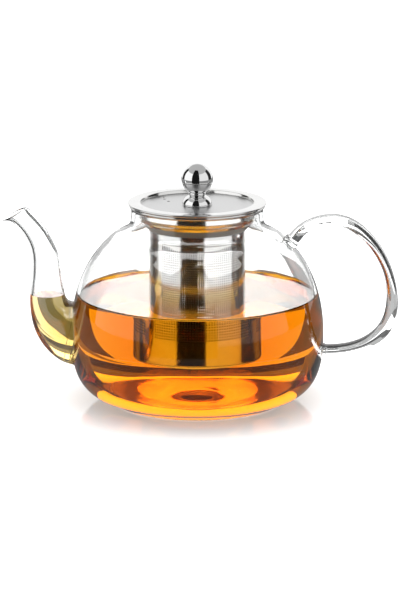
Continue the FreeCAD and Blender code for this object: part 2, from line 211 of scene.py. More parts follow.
def skin(name, rings, loop=False, angle=32):
    """Closed surface through rings of points: capped at both ends, or joined end to end."""
    n = len(rings[0])
    verts = [p for r in rings for p in r]
    faces = []
    count = len(rings)
    for k in range(count if loop else count - 1):
        a, b = k * n, ((k + 1) % count) * n
        for i in range(n):
            j = (i + 1) % n
            faces.append((a + i, a + j, b + j, b + i))
    if not loop:
        for k, order in ((0, -1), (count - 1, 1)):
            centre = tuple(np.mean(rings[k], axis=0))
            verts.append(centre)
            m = len(verts) - 1
            for i in range(n):
                j = (i + 1) % n
                tri = (k * n + i, k * n + j, m)
                faces.append(tri if order > 0 else tri[::-1])
    return mesh_object(name, verts, faces, angle)


def boolean(ob, cutter, op, keep=False, angle=32, solver="MANIFOLD"):
    mod = ob.modifiers.new("join", "BOOLEAN")
    mod.operation, mod.object = op, cutter
    mod.solver = solver
    bpy.context.view_layer.update()
    me = bpy.data.meshes.new_from_object(ob.evaluated_get(bpy.context.evaluated_depsgraph_get()))
    if len(me.polygons) == 0 and solver != "EXACT":
        ob.modifiers.clear()
        return boolean(ob, cutter, op, keep, angle, "EXACT")
    ob.modifiers.clear()
    ob.data = me
    if not keep:
        bpy.data.objects.remove(cutter)
    return finish_mesh(ob, angle)


def block(low, high):
    (a, b, c), (d, e, f) = low, high
    v = [(x, y, z) for x in (a, d) for y in (b, e) for z in (c, f)]
    q = [(0, 1, 3, 2), (4, 6, 7, 5), (0, 4, 5, 1), (2, 3, 7, 6), (0, 2, 6, 4), (1, 5, 7, 3)]
    return mesh_object("cutter", v, q)


# ----------------------------------------------------------------- materials
def material(name):
    m = bpy.data.materials.new(name)
    m.use_nodes = True
    nt = m.node_tree
    bsdf = nt.nodes["Principled BSDF"]
    return m, nt, bsdf


def noise(nt, scale, detail=3.0, rough=0.5, stretch=(1, 1, 1), coords="Object"):
    tc = nt.nodes.new("ShaderNodeTexCoord")
    mp = nt.nodes.new("ShaderNodeMapping")
    mp.inputs["Scale"].default_value = stretch
    n = nt.nodes.new("ShaderNodeTexNoise")
    n.inputs["Scale"].default_value = scale
    n.inputs["Detail"].default_value = detail
    n.inputs["Roughness"].default_value = rough
    nt.links.new(tc.outputs[coords], mp.inputs["Vector"])
    nt.links.new(mp.outputs["Vector"], n.inputs["Vector"])
    return n


def ramp(nt, source, low, high, a=0.3, b=0.7):
    r = nt.nodes.new("ShaderNodeMapRange")
    r.inputs["From Min"].default_value = a
    r.inputs["From Max"].default_value = b
    r.inputs["To Min"].default_value = low
    r.inputs["To Max"].default_value = high
    nt.links.new(source, r.inputs["Value"])
    return r.outputs["Result"]


def bump(nt, bsdf, height, strength, distance):
    b = nt.nodes.new("ShaderNodeBump")
    b.inputs["Strength"].default_value = strength
    b.inputs["Distance"].default_value = distance
    nt.links.new(height, b.inputs["Height"])
    nt.links.new(b.outputs["Normal"], bsdf.inputs["Normal"])
    return b


def glass(name, scale, depth):
    m, nt, bsdf = material(name)
    bsdf.inputs["Base Color"].default_value = (0.985, 0.995, 0.992, 1)
    bsdf.inputs["Transmission Weight"].default_value = 1.0
    bsdf.inputs["IOR"].default_value = 1.47
    bsdf.inputs["Roughness"].default_value = 0.0
    # the slow waviness of blown glass
    n = noise(nt, scale, 1.5, 0.4)
    bump(nt, bsdf, n.outputs["Fac"], 0.5, depth)
    return m


GLASS = glass("glass_blown", 38.0, 0.00035)
# glass that the tea wets: next to the tea it hardly mirrors
GLASS_WET = glass("glass_wet", 38.0, 0.0002)
GLASS_WET.node_tree.nodes["Principled BSDF"].inputs["Specular Tint"].default_value = (0, 0, 0, 1)
GLASS_ROD = glass("glass_drawn", 55.0, 0.0003)


def tea_material():
    m, nt, bsdf = material("tea_amber")
    bsdf.inputs["Base Color"].default_value = (1, 1, 1, 1)
    bsdf.inputs["Transmission Weight"].default_value = 1.0
    bsdf.inputs["IOR"].default_value = 1.333
    bsdf.inputs["Specular Tint"].default_value = (0, 0, 0, 1)
    bsdf.inputs["Roughness"].default_value = 0.0
    n = noise(nt, 30.0, 1.0, 0.4)
    bump(nt, bsdf, n.outputs["Fac"], 0.25, 0.0002)
    vol = nt.nodes.new("ShaderNodeVolumeAbsorption")
    vol.inputs["Color"].default_value = (0.945, 0.746, 0.0, 1)
    vol.inputs["Density"].default_value = 60.0
    nt.links.new(vol.outputs["Volume"], nt.nodes["Material Output"].inputs["Volume"])
    return m


def steel(name, colour, rough, spread, grain=900.0, stretch=(1, 1, 1), depth=0.00002, strength=0.25, aniso=0.0):
    m, nt, bsdf = material(name)
    bsdf.inputs["Metallic"].default_value = 1.0
    n = noise(nt, grain, 4.0, 0.6, stretch)
    big = noise(nt, 60.0, 2.0, 0.5)
    mix = nt.nodes.new("ShaderNodeMix")
    mix.data_type = "RGBA"
    mix.inputs[6].default_value = (*[c * 0.94 for c in colour], 1)
    mix.inputs[7].default_value = (*colour, 1)
    nt.links.new(ramp(nt, big.outputs["Fac"], 0, 1), mix.inputs[0])
    nt.links.new(mix.outputs[2], bsdf.inputs["Base Color"])
    nt.links.new(ramp(nt, n.outputs["Fac"], rough - spread, rough + spread), bsdf.inputs["Roughness"])
    bump(nt, bsdf, n.outputs["Fac"], strength, depth)
    if aniso:
        bsdf.inputs["Anisotropic"].default_value = aniso
    return m


MIRROR = steel("steel_mirror", (0.80, 0.80, 0.80), 0.045, 0.015, 700.0, (1, 1, 1), 0.000004, 0.1)
POLISHED = steel("steel_polished", (0.74, 0.74, 0.73), 0.13, 0.03, 900.0, (1, 1, 0.2), 0.00001, 0.15)
SHEET_STEEL = steel("steel_sheet", (0.66, 0.66, 0.66), 0.14, 0.03, 900.0, (1, 1, 0.1), 0.00001, 0.2)
MATT = steel("steel_matt", (0.50, 0.50, 0.49), 0.38, 0.05, 1500.0, (1, 1, 1), 0.00001, 0.2)
# a darker, rougher, half-metallic steel for the band under the cup
SHOULDER = steel("steel_dark_band", (0.34, 0.335, 0.33), 0.55, 0.06, 1500.0, (1, 1, 1), 0.00001, 0.2)
SHOULDER.node_tree.nodes["Principled BSDF"].inputs["Metallic"].default_value = 0.3
# painted shade: the strainer's inside gets this far darker steel, standing in for the shade inside the tube
INNER_SHADE_PAINTED = steel("steel_inner_shade_painted", (0.20, 0.20, 0.20), 0.45, 0.06, 1500.0, (1, 1, 1), 0.00001, 0.2)
PLAIN = steel("steel_plain", (0.55, 0.55, 0.55), 0.3, 0.06, 1200.0, (1, 1, 1), 0.00001, 0.3)


def satin_material():
    """Satin disc with fine concentric turning marks."""
    m, nt, bsdf = material("steel_satin")
    bsdf.inputs["Metallic"].default_value = 1.0
    tc = nt.nodes.new("ShaderNodeTexCoord")
    sep = nt.nodes.new("ShaderNodeSeparateXYZ")
    nt.links.new(tc.outputs["Object"], sep.inputs[0])
    xy = nt.nodes.new("ShaderNodeCombineXYZ")
    nt.links.new(sep.outputs[0], xy.inputs[0])
    nt.links.new(sep.outputs[1], xy.inputs[1])
    length = nt.nodes.new("ShaderNodeVectorMath")
    length.operation = "LENGTH"
    nt.links.new(xy.outputs[0], length.inputs[0])
    n = nt.nodes.new("ShaderNodeTexNoise")
    n.noise_dimensions = "1D"
    n.inputs["Scale"].default_value = 4200.0
    n.inputs["Detail"].default_value = 3.0
    nt.links.new(length.outputs["Value"], n.inputs["W"])
    grain = noise(nt, 2500.0, 3.0, 0.6)
    add = nt.nodes.new("ShaderNodeMath")
    add.operation = "ADD"
    nt.links.new(n.outputs["Fac"], add.inputs[0])
    nt.links.new(grain.outputs["Fac"], add.inputs[1])
    mix = nt.nodes.new("ShaderNodeMix")
    mix.data_type = "RGBA"
    mix.inputs[6].default_value = (0.60, 0.60, 0.60, 1)
    mix.inputs[7].default_value = (0.69, 0.69, 0.69, 1)
    nt.links.new(ramp(nt, add.outputs[0], 0, 1, 0.7, 1.3), mix.inputs[0])
    nt.links.new(mix.outputs[2], bsdf.inputs["Base Color"])
    nt.links.new(ramp(nt, add.outputs[0], 0.30, 0.40, 0.7, 1.3), bsdf.inputs["Roughness"])
    bump(nt, bsdf, add.outputs[0], 0.25, 0.00001)
    return m


SATIN = satin_material()
TEA = tea_material()


def give(ob, *mats):
    ob.data.materials.clear()
    for m in mats:
        ob.data.materials.append(m)
    return ob


# ---------------------------------------------------------------- glass body
outer = spline(OUTER, 4, (1, 0), (0, 1))


def wall_at(z):
    if z < 14:
        return WALL_BASE * (1 - z / 14.0) + WALL * z / 14.0
    if z > 94:
        k = min(1.0, (z - 94) / 8.0)
        return WALL * (1 - k) + WALL_NECK * k
    return WALL


def offset(curve, by):
    """The curve moved to its left, into the pot, by a number or by wall_at times it."""
    t = np.gradient(curve, axis=0)
    t /= np.linalg.norm(t, axis=1)[:, None]
    w = np.array([by(z) if callable(by) else by for _, z in curve])
    return curve + np.c_[-t[:, 1], t[:, 0]] * w[:, None]


inner = offset(outer, wall_at)
inner[0] = (BASE_R, WALL_BASE)
inner[-1] = (NECK_R - WALL_NECK, 105.5)


def inner_r(z):
    k = np.argmin(np.abs(inner[:, 1] - 20))
    part = inner[k:]
    return float(np.interp(z, part[:, 1], part[:, 0]))


ri, ro, q = NECK_R - WALL_NECK, NECK_R, RIM_ROUND
rim = [(ro, RIM_Z - q - 1.2)]
rim += [(ro - q + q * math.cos(a), RIM_Z - q + q * math.sin(a)) for a in np.radians(np.arange(0, 91, 15))]
rim += [(ri + q - q * math.sin(a), RIM_Z - q + q * math.cos(a)) for a in np.radians(np.arange(0, 91, 15))]
rim += [(ri, RIM_Z - q - 1.2)]
# the foot: a flat ring to stand on, and a faintly hollow bottom
foot = [(0.0, 0.35), (12, 0.33), (24, 0.25), (34, 0.10), (38, 0.02), (41, 0.0)]
floor_in = [(41, WALL_BASE), (30, WALL_BASE), (15, WALL_BASE), (0.0, WALL_BASE)]
profile = foot + [tuple(p) for p in outer] + rim + [tuple(p) for p in inner[::-1]] + floor_in
pot_wall = lathe("pot_wall", profile, 224)


def body_full(by):
    o = offset(outer, by)
    return lathe("cutter", [(0.0, by), (o[0][0], by)] + [tuple(p) for p in o[1:]] + [(o[-1][0], RIM_Z), (0.0, RIM_Z)], 224)


# --------------------------------------------------------------------- spout
stations = []
for i, (lo, hi, hy) in enumerate(SPOUT):
    k = i / (len(SPOUT) - 1)
    w = SPOUT_WALL_ROOT * (1 - k) + SPOUT_WALL_TIP * k
    stations.append(((lo[0] + hi[0]) / 2, (lo[1] + hi[1]) / 2, lo[0], lo[1], hi[0], hi[1], hy, w))
srows = spline(stations, 6)
SN = 72


def spout_section(row, shrink):
    _, _, lx, lz, hx, hz, hy, w = row
    d = math.hypot(hx - lx, hz - lz)
    s = shrink(w) if callable(shrink) else shrink
    return ((lx + hx) / 2, (lz + hz) / 2, (hx - lx) / d, (hz - lz) / d, d / 2 - s, hy - s)


step = srows[-1] - srows[-2]
last = spout_section(srows[-1], 0)
nx, nz = -last[3], last[2]
rise = step[0] * nx + step[1] * nz
tip = SPOUT_WALL_TIP / 2
keep = [r for r in srows if (srows[-1][0] - r[0]) * nx + (srows[-1][1] - r[1]) * nz > tip or r[0] > -90]
out_rows = [spout_section(r, 0) for r in keep]
in_rows = [spout_section(r, lambda w: w) for r in keep]
lip = []
for a in np.radians(np.arange(0, 181, 18)):
    at = -tip + tip * math.sin(a)
    row = srows[-1] + step * (at / rise)
    lip.append(spout_section(row, tip - tip * math.cos(a)))
rings = oval_rows(out_rows + lip + in_rows[::-1], SN)
spout_all = skin("spout_all", rings, loop=True)


def bore(name, grow, extend=True):
    rows = [spout_section(r, lambda w: w - grow) for r in srows]
    if extend:
        a = rows[0]
        rows = [(a[0] + 6, a[1], a[2], a[3], a[4], a[5])] + rows
        cx, cz, dx, dz, h, hy = rows[-1]
        rows.append((cx - dz * 3, cz + dx * 3, dx, dz, h + 0.3, hy + 0.3))
    return skin(name, oval_rows(rows, SN))


# the opening of the spout in the wall
pot_wall = boolean(pot_wall, bore("cutter", 0.0), "DIFFERENCE")
spout_all = boolean(spout_all, body_full(LAP), "DIFFERENCE")
ring = spout_all.copy()
ring.data = spout_all.data.copy()
ring.name = "spout_ring"
scene.collection.objects.link(ring)
boolean(ring, block((SPOUT_ROOT_X, -60, -10), (10, 60, 130)), "INTERSECT")
boolean(spout_all, block((SPOUT_ROOT_X + LAP, -60, -10), (10, 60, 130)), "DIFFERENCE")
spout_all.name = "spout_tube"
spout_tube = spout_all


def largest(ob):
    """Keeps the largest connected part of a mesh."""
    bm = bmesh.new()
    bm.from_mesh(ob.data)
    left, groups = set(bm.verts), []
    while left:
        stack, group = [left.pop()], []
        while stack:
            v = stack.pop()
            group.append(v)
            for e in v.link_edges:
                w = e.other_vert(v)
                if w in left:
                    left.discard(w)
                    stack.append(w)
        groups.append(group)
    groups.sort(key=len, reverse=True)
    for g in groups[1:]:
        bmesh.ops.delete(bm, geom=g, context="VERTS")
    bm.to_mesh(ob.data)
    bm.free()
    return finish_mesh(ob)


largest(spout_tube)
largest(ring)

# -------------------------------------------------------------------- handle
pad_face = (PAD_UP[0] + PAD_N[0] * PAD_UP_T, PAD_UP[1] + PAD_N[1] * PAD_UP_T)
line_pts = [(pad_face[0], pad_face[1], 3.45, HANDLE_HALF_Y, 2.0)]
line_pts += [(x, z, b, HANDLE_HALF_Y, 2.15) for x, z, b in HANDLE]
line_pts += [(PAD_LOW_X, PAD_LOW_Z, 3.9, HANDLE_HALF_Y + 0.2, 2.0)]
hrows = spline(line_pts, 6, (PAD_N[0], PAD_N[1], 0, 0, 0), (-1, 0, 0, 0, 0))
tang = np.gradient(hrows[:, :2], axis=0)
tang /= np.linalg.norm(tang, axis=1)[:, None]
tang[0], tang[-1] = PAD_N, (-1, 0)
rod = [(x, z, -tz, tx, b, hy) for (x, z, b, hy, _), (tx, tz) in zip(hrows, tang)]
rod = [(rod[0][0] - PAD_N[0] * LAP, rod[0][1] - PAD_N[1] * LAP, *rod[0][2:])] + rod
rod.append((rod[-1][0] - LAP, rod[-1][1], *rod[-1][2:]))
handle_rod = skin("handle_rod", oval_rows(rod, 56, 2.12))


def pad(name, cx, cz, nx_, nz_, depth, half, half_y, soft=0.8):
    rows = [(cx - nx_ * depth, cz - nz_ * depth, -nz_, nx_, half, half_y)]
    for a in np.radians(np.arange(0, 91, 15)):
        s = soft - soft * math.sin(a)
        rows.append((cx - nx_ * s, cz - nz_ * s, -nz_, nx_, half - soft + soft * math.cos(a), half_y - soft + soft * math.cos(a)))
    ob = skin(name, oval_rows(rows, 56))
    return boolean(ob, body_full(LAP), "DIFFERENCE")


handle_pad_top = pad("handle_pad_top", pad_face[0], pad_face[1], PAD_N[0], PAD_N[1], 6.0, 4.35, 7.2)
handle_pad_bottom = pad("handle_pad_bottom", PAD_LOW_X, PAD_LOW_Z, 1.0, 0.0, 6.0, 4.5, 7.2)

# ----------------------------------------------------------------------- tea
WET = 0.3          # the tea's skin lies this far inside the glass
wet = offset(outer, lambda z: wall_at(z) - WET)
wet[0] = (BASE_R, WALL_BASE - WET)
r_in = inner_r(TEA_Z)
creep = [(r_in + WET * 0.9 - d, TEA_Z + 1.9 * math.exp(-d / 1.05)) for d in (0, 0.25, 0.5, 0.8, 1.2, 1.7, 2.4, 3.4, 5.0)]
low = [tuple(p) for p in wet if p[1] < TEA_Z + 0.9]
tea_profile = [(0.0, WALL_BASE - WET), (30, WALL_BASE - WET)] + low + creep + [(30, TEA_Z), (0.0, TEA_Z)]
tea = lathe("tea", tea_profile, 224)
tea_spout = bore("cutter", WET, extend=False)
boolean(tea_spout, block((-130, -60, TEA_Z), (10, 60, 140)), "DIFFERENCE")
boolean(tea, tea_spout, "UNION")

# ------------------------------------------------------------ strainer basket
top = RIM_Z + FLANGE_T
fr = FLANGE_T / 2
ir = SLEEVE_R - SLEEVE_T
collar = [(CUP_R_TOP + 0.5, RIM_Z), (FLANGE_R - fr, RIM_Z)]
collar += [(FLANGE_R - fr + fr * math.sin(a), RIM_Z + fr - fr * math.cos(a)) for a in np.radians(np.arange(15, 180, 15))]
collar += [(FLANGE_R - fr, top)]
collar += rounded([
    (CUP_R_TOP - SHEET, top, 0.7), (CUP_R_LOW - SHEET, CUP_Z_LOW + 0.25, 0.5),
    (ir - 0.4, SHOULDER_Z - 0.1, 0.3), (ir - 0.4, SKIRT_IN_Z, 0), (ir, SKIRT_IN_Z, 0),
    (ir, SHOULDER_Z - 0.2, 0), (SLEEVE_R, SHOULDER_Z - 0.2, 0), (SLEEVE_R, SHOULDER_Z, 0),
    (30.5, 101.3, 0.5), (31.75, 103.0, 1.5), (32.75, 105.8, 3.0), (CUP_R_TOP, RIM_Z - 0.4, 0.3), (CUP_R_TOP + 0.5, RIM_Z, 0)])[:]
basket_cup = lathe("basket_cup", collar, 192)

COLS, ROWS = 132, 42
HOLE_LOW, HOLE_TOP, HOLE_R = 40.2, 92.7, 0.42
STRIPS = (-54.0, 66.0, 186.0)
z_rows = [BASKET_Z + BASE_CORNER, 34.0] + list(np.linspace(HOLE_LOW, HOLE_TOP, ROWS + 1)) + [SHOULDER_Z - 0.2]


def sleeve():
    verts, faces, index = [], [], {}

    def grid(i, j, side):
        key = (i % COLS, j, side)
        if key not in index:
            a = 2 * math.pi * i / COLS
            r = SLEEVE_R if side else ir
            verts.append((r * math.sin(a), -r * math.cos(a), z_rows[j]))
            index[key] = len(verts) - 1
        return index[key]

    def facing(poly, side):
        faces.append(tuple(poly) if side else tuple(poly[::-1]))

    for j in range(len(z_rows) - 1):
        holed = 2 <= j < 2 + ROWS
        for i in range(COLS):
            az = 360.0 * (i + 0.5) / COLS
            solid = any(abs((az - s + 180) % 360 - 180) < 6.5 for s in STRIPS)
            if not holed or solid:
                for side in (0, 1):
                    facing([grid(i, j, side), grid(i + 1, j, side), grid(i + 1, j + 1, side), grid(i, j + 1, side)], side)
                continue
            am, zm = 2 * math.pi * (i + 0.5) / COLS, (z_rows[j] + z_rows[j + 1]) / 2
            hexes = []
            for side in (0, 1):
                r = SLEEVE_R if side else ir
                first = len(verts)
                for k in range(6):
                    t = math.radians(60 * k)
                    a = am + HOLE_R * math.cos(t) / SLEEVE_R
                    verts.append((r * math.sin(a), -r * math.cos(a), zm + HOLE_R * math.sin(t)))
                h = [first + k for k in range(6)]
                hexes.append(h)
                c = [grid(i, j, side), grid(i + 1, j, side), grid(i + 1, j + 1, side), grid(i, j + 1, side)]
                facing([c[1], c[2], h[1], h[0], h[5]], side)
                facing([c[2], c[3], h[2], h[1]], side)
                facing([c[3], c[0], h[4], h[3], h[2]], side)
                facing([c[0], c[1], h[5], h[4]], side)
            for k in range(6):
                m = (k + 1) % 6
                faces.append((hexes[1][k], hexes[1][m], hexes[0][m], hexes[0][k]))
    for i in range(COLS):
        for j in (0, len(z_rows) - 1):
            faces.append((grid(i, j, 0), grid(i + 1, j, 0), grid(i + 1, j, 1), grid(i, j, 1)))
    return mesh_object("basket_strainer", verts, faces, 40)


strainer = sleeve()

c = BASE_CORNER
pan = [(0.0, BASKET_Z), (16, BASKET_Z)]
pan += [(SLEEVE_R - c + c * math.sin(a), BASKET_Z + c - c * math.cos(a)) for a in np.radians(np.arange(0, 91, 15))]
pan += [(ir, BASKET_Z + c), (ir, BASE_WALL_TOP), (ir - 0.4, BASE_WALL_TOP), (ir - 0.4, BASKET_Z + c)]
ci = c - SLEEVE_T
pan += [(ir - 0.4 - ci + ci * math.cos(a), BASKET_Z + c - ci * math.sin(a)) for a in np.radians(np.arange(15, 91, 15))]
pan += [(16, BASKET_Z + 0.4), (0.0, BASKET_Z + 0.4)]
basket_pan = lathe("basket_pan", pan, 192)


def dots(name, z):
    verts, faces = [], []
    n = 16
    for az in WELD_AZ:
        a = math.radians(az)
        out = Vector((math.sin(a), -math.cos(a), 0))
        side = Vector((math.cos(a), math.sin(a), 0))
        up = Vector((0, 0, 1))
        first = len(verts)
        rows = [(WELD_R, -0.15)] + [(WELD_R * math.cos(t), WELD_PROUD * math.sin(t)) for t in np.radians((0, 30, 60))]
        for r, h in rows:
            for i in range(n):
                t = 2 * math.pi * i / n
                s = r * math.cos(t)
                # follow the tube's own curve
                back = SLEEVE_R - math.sqrt(SLEEVE_R**2 - s**2)
                p = out * (SLEEVE_R + h - back) + side * s + up * (z + r * math.sin(t))
                verts.append(tuple(p))
        for k in range(len(rows) - 1):
            for i in range(n):
                j = (i + 1) % n
                faces.append((first + k * n + i, first + k * n + j, first + (k + 1) * n + j, first + (k + 1) * n + i))
        faces.append(tuple(first + (len(rows) - 1) * n + i for i in range(n)))
        faces.append(tuple(first + i for i in range(n))[::-1])
    return mesh_object(name, verts, faces, 60)


weld_top = dots("weld_dots_top", WELD_Z_TOP)
weld_low = dots("weld_dots_low", WELD_Z_LOW)

# ----------------------------------------------------------------------- lid
zr = LID_Z - RECESS_DEPTH
er = LID_EDGE_T / 2
lid = [(2.15, zr), (6, zr), (20, zr), (29.0, zr)]
lid += rounded([(RECESS_R - 0.5, zr, 0.25), (RECESS_R, LID_Z, 0.35), (LID_R - er, LID_Z, 0)])[:-1]
lid += [(LID_R - er + er * math.sin(a), LID_Z - er + er * math.cos(a)) for a in np.radians(np.arange(0, 181, 15))]
lid += [(35.4, LID_Z - LID_EDGE_T), (35.4, LID_Z - LID_SHEET), (RECESS_R + 0.6, LID_Z - LID_SHEET),
        (RECESS_R + 0.1, zr - LID_SHEET), (20, zr - LID_SHEET), (2.15, zr - LID_SHEET)]
# the first corner has no neighbour before it, so its points are listed
lid_sheet = lathe("lid_sheet", [p for p in lid if p[0] > 0], 192, angle=25)
for x, y in VENTS:
    n = 20
    v = [(x + VENT_R * math.cos(2 * math.pi * i / n), y + VENT_R * math.sin(2 * math.pi * i / n), z) for z in (105, 115) for i in range(n)]
    f = [(i, (i + 1) % n, n + (i + 1) % n, n + i) for i in range(n)] + [tuple(range(n))[::-1], tuple(range(n, 2 * n))]
    boolean(lid_sheet, mesh_object("cutter", v, f), "DIFFERENCE", angle=25)

# ---------------------------------------------------------------------- knob
bell_prof = [(2.15, zr), (BELL_R - 0.5, zr)]
bell_prof += [(BELL_R - 0.5 + 0.5 * math.sin(a), zr + 0.5 - 0.5 * math.cos(a)) for a in np.radians((20, 45, 70, 90))]
flare = [(2.629 + 5.642 * math.cos(a), zr + 0.112 + 5.642 * math.sin(a)) for a in np.radians(np.linspace(9.06, 72.75, 22))]
bell_prof += [tuple(p) for p in flare] + [(2.15, BELL_TOP_Z)]
bell = lathe("knob_flare", bell_prof, 128)
zm = (BELL_TOP_Z + RING_TOP_Z) / 2
ring_prof = [(2.15, BELL_TOP_Z), (4.1, BELL_TOP_Z)]
ring_prof += [(4.1 + 0.65 * math.sin(a), zm - (zm - BELL_TOP_Z) * math.cos(a)) for a in np.radians(np.arange(15, 180, 15))]
ring_prof += [(4.1, RING_TOP_Z), (2.15, RING_TOP_Z)]
knob_ring = lathe("knob_ring", ring_prof, 128)
low_a = -math.asin((BALL_Z - RING_TOP_Z) / BALL_R)
ball_prof = [(0.0, 123.9), (1.6, 123.9), (2.0, 123.5), (2.0, RING_TOP_Z)]
ball_prof += [(BALL_R * math.cos(a), BALL_Z + BALL_R * math.sin(a)) for a in np.linspace(low_a, math.pi / 2, 56)[:-1]]
ball_prof += [(0.0, BALL_Z + BALL_R)]
ball = lathe("knob_globe", ball_prof, 128, closed=False)

# -------------------------------------------------- materials, bodies, nodes
for ob, mat, body, slot, nodes in (
    (pot_wall, GLASS, "glass_pot", "borosilicate_glass", ["glass_body"]),
    (ring, GLASS_ROD, "glass_pot", "borosilicate_glass", ["spout_weld_ring"]),
    (spout_tube, GLASS, "glass_pot", "borosilicate_glass", ["spout"]),
    (handle_rod, GLASS_ROD, "glass_pot", "borosilicate_glass", ["handle"]),
    (handle_pad_top, GLASS_ROD, "glass_pot", "borosilicate_glass", ["handle_upper_pad"]),
    (handle_pad_bottom, GLASS_ROD, "glass_pot", "borosilicate_glass", ["handle_lower_pad"]),
    (tea, TEA, "glass_pot", None, []),
    (basket_cup, POLISHED, "basket", "polished_steel", ["basket_collar"]),
    (strainer, SHEET_STEEL, "basket", "strainer_steel", ["basket_sleeve"]),
    (basket_pan, POLISHED, "basket", "polished_steel", ["basket_base"]),
    (weld_top, MATT, "basket", "polished_steel", ["collar_spot_welds"]),
    (weld_low, MATT, "basket", "polished_steel", ["base_spot_welds"]),
    (lid_sheet, POLISHED, "lid", "satin_steel", ["lid_plate"]),
    (bell, MIRROR, "lid", "mirror_steel", ["knob_bell"]),
    (knob_ring, MIRROR, "lid", "mirror_steel", ["knob_collar"]),
    (ball, MIRROR, "lid", "mirror_steel", ["knob_ball"]),
):
    give(ob, mat)
    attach(ob, body)
    if nodes:
        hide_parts(*nodes)

# the inner wall is wetted up to the tea's level
pot_wall.data.materials.append(GLASS_WET)
for p in pot_wall.data.polygons:
    x, y, z = p.center
    zmm, rmm = z / MM, math.hypot(x, y) / MM
    if WALL_BASE - 0.1 < zmm < TEA_Z and rmm < inner_r(max(zmm, 20.0)) + 0.5 and p.normal.x * x + p.normal.y * y < 0.35 * math.hypot(x, y) * p.normal.z + 1e-9:
        p.material_index = 1

# the recessed disc is satin, the flange polished
lid_sheet.data.materials.append(SATIN)
for p in lid_sheet.data.polygons:
    x, y, z = p.center
    if math.hypot(x, y) < 0.0306 and z > (zr - 0.3) * MM and p.normal.z > 0.5:
        p.material_index = 1
# the strainer's inside is dull and painted far darker, as painted shade inside the tube; the cup's shoulder and the
# overlap under it are a darker, matt steel
strainer.data.materials.append(INNER_SHADE_PAINTED)
for p in strainer.data.polygons:
    x, y, z = p.center
    if math.hypot(x, y) < (SLEEVE_R - 0.1) * MM:
        p.material_index = 1
basket_cup.data.materials.append(SHOULDER)
for p in basket_cup.data.polygons:
    x, y, z = p.center
    if z < 101.3 * MM:
        p.material_index = 1

for node, mat in (("lid_skirt", POLISHED), ("knob_washer", PLAIN), ("knob_screw", PLAIN)):
    give(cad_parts[node], mat)

# ---------------------------------------------------------------- the studio
world = bpy.data.worlds.new("studio")
scene.world = world
world.use_nodes = True
world.node_tree.nodes["Background"].inputs["Color"].default_value = (1, 1, 1, 1)
world.node_tree.nodes["Background"].inputs["Strength"].default_value = 1.2


def arc_flag(name, a0, a1, radius, z0, z1, grey, strength=1.0, **seen):
    """An upright curved sheet round the pot, from azimuth a0 to a1; 0 is in front, 90 on the handle's side."""
    steps = max(2, int(abs(a1 - a0) / 4))
    v, f = [], []
    for i in range(steps + 1):
        a = math.radians(a0 + (a1 - a0) * i / steps)
        for z in (z0, z1):
            v.append((radius * math.sin(a), -radius * math.cos(a), z))
    for i in range(steps):
        f.append((2 * i, 2 * i + 2, 2 * i + 3, 2 * i + 1))
    return glow(name, v, f, grey, strength, **seen)


def glow(name, v, f, grey, strength, **seen):
    me = bpy.data.meshes.new(name)
    me.from_pydata(v, [], f)
    ob = bpy.data.objects.new(name, me)
    scene.collection.objects.link(ob)
    m = bpy.data.materials.new(name)
    m.use_nodes = True
    nt = m.node_tree
    nt.nodes.clear()
    em = nt.nodes.new("ShaderNodeEmission")
    em.inputs["Color"].default_value = (grey, grey, grey, 1)
    em.inputs["Strength"].default_value = strength
    o = nt.nodes.new("ShaderNodeOutputMaterial")
    nt.links.new(em.outputs[0], o.inputs["Surface"])
    me.materials.append(m)
    for k in ("camera", "diffuse", "glossy", "transmission", "shadow"):
        setattr(ob, "visible_" + k, seen.get(k, False))
    return ob


def sector(name, a0, a1, r0, r1, z, grey, strength=1.0, **seen):
    """A flat piece of ring lying on the table, from azimuth a0 to a1 and radius r0 to r1."""
    steps = max(2, int(abs(a1 - a0) / 4))
    v, f = [], []
    for i in range(steps + 1):
        a = math.radians(a0 + (a1 - a0) * i / steps)
        for r in (r0, r1):
            v.append((r * math.sin(a), -r * math.cos(a), z))
    for i in range(steps):
        f.append((2 * i, 2 * i + 1, 2 * i + 3, 2 * i + 2))
    return glow(name, v, f, grey, strength, **seen)


# a dark room in front, two broad soft boxes beside it, dark gaps behind them, and a lit sheet at the
# back. Reflections and whatever the glass bends meet them; the room's own light comes from the world.
both = dict(glossy=True, transmission=True)
through = dict(transmission=True)
arc_flag("dark_front", -38, 16, 0.26, 0.0, 0.95, 0.012, **both)
arc_flag("box_left", -104, -36, 1.0, 0.0, 1.0, 1.0, 1.25, **both)
arc_flag("box_right", 15, 88, 1.0, 0.0, 1.0, 1.0, 1.0, **both)
arc_flag("gap_left", -130, -104, 1.0, 0.0, 1.2, 0.03, glossy=True)
arc_flag("gap_right", 88, 122, 1.0, 0.0, 1.2, 0.03, glossy=True)
arc_flag("panel_back_seen", 122, 230, 1.2, 0.0, 1.0, 1.0, 1.15, glossy=True)
arc_flag("side_left", 230, 256, 1.1, 0.0, 1.3, 0.03, **through)
arc_flag("side_left_soft", 214, 230, 1.1, 0.0, 1.3, 0.40, **through)
arc_flag("side_right_soft", 134, 146, 1.1, 0.0, 1.3, 0.25, **through)
arc_flag("side_right", 88, 134, 1.1, 0.0, 1.3, 0.02, **through)
arc_flag("back_low", 146, 214, 1.2, 0.0, 0.10, 0.10, **through)
arc_flag("back_below", 146, 214, 1.2, 0.10, 0.22, 0.45, **through)
arc_flag("back_sheet", 146, 214, 1.2, 0.22, 0.50, 1.0, 4.0, **through)
arc_flag("back_high", 146, 214, 1.2, 0.50, 1.3, 0.10, **through)
sector("table_right", 88, 134, 0.060, 1.1, 0.0002, 0.03, **through)
sector("table_right_soft", 134, 146, 0.060, 1.1, 0.0002, 0.3, **through)
sector("table_left", 230, 256, 0.060, 1.1, 0.0002, 0.05, **through)
sector("table_left_soft", 214, 230, 0.060, 1.1, 0.0002, 0.55, **through)
sector("table_front", -38, 16, 0.075, 1.0, 0.0002, 0.02, **through)
sector("table_back", 169, 191, 0.047, 0.25, 0.0003, 1.0, 1.6, **through)
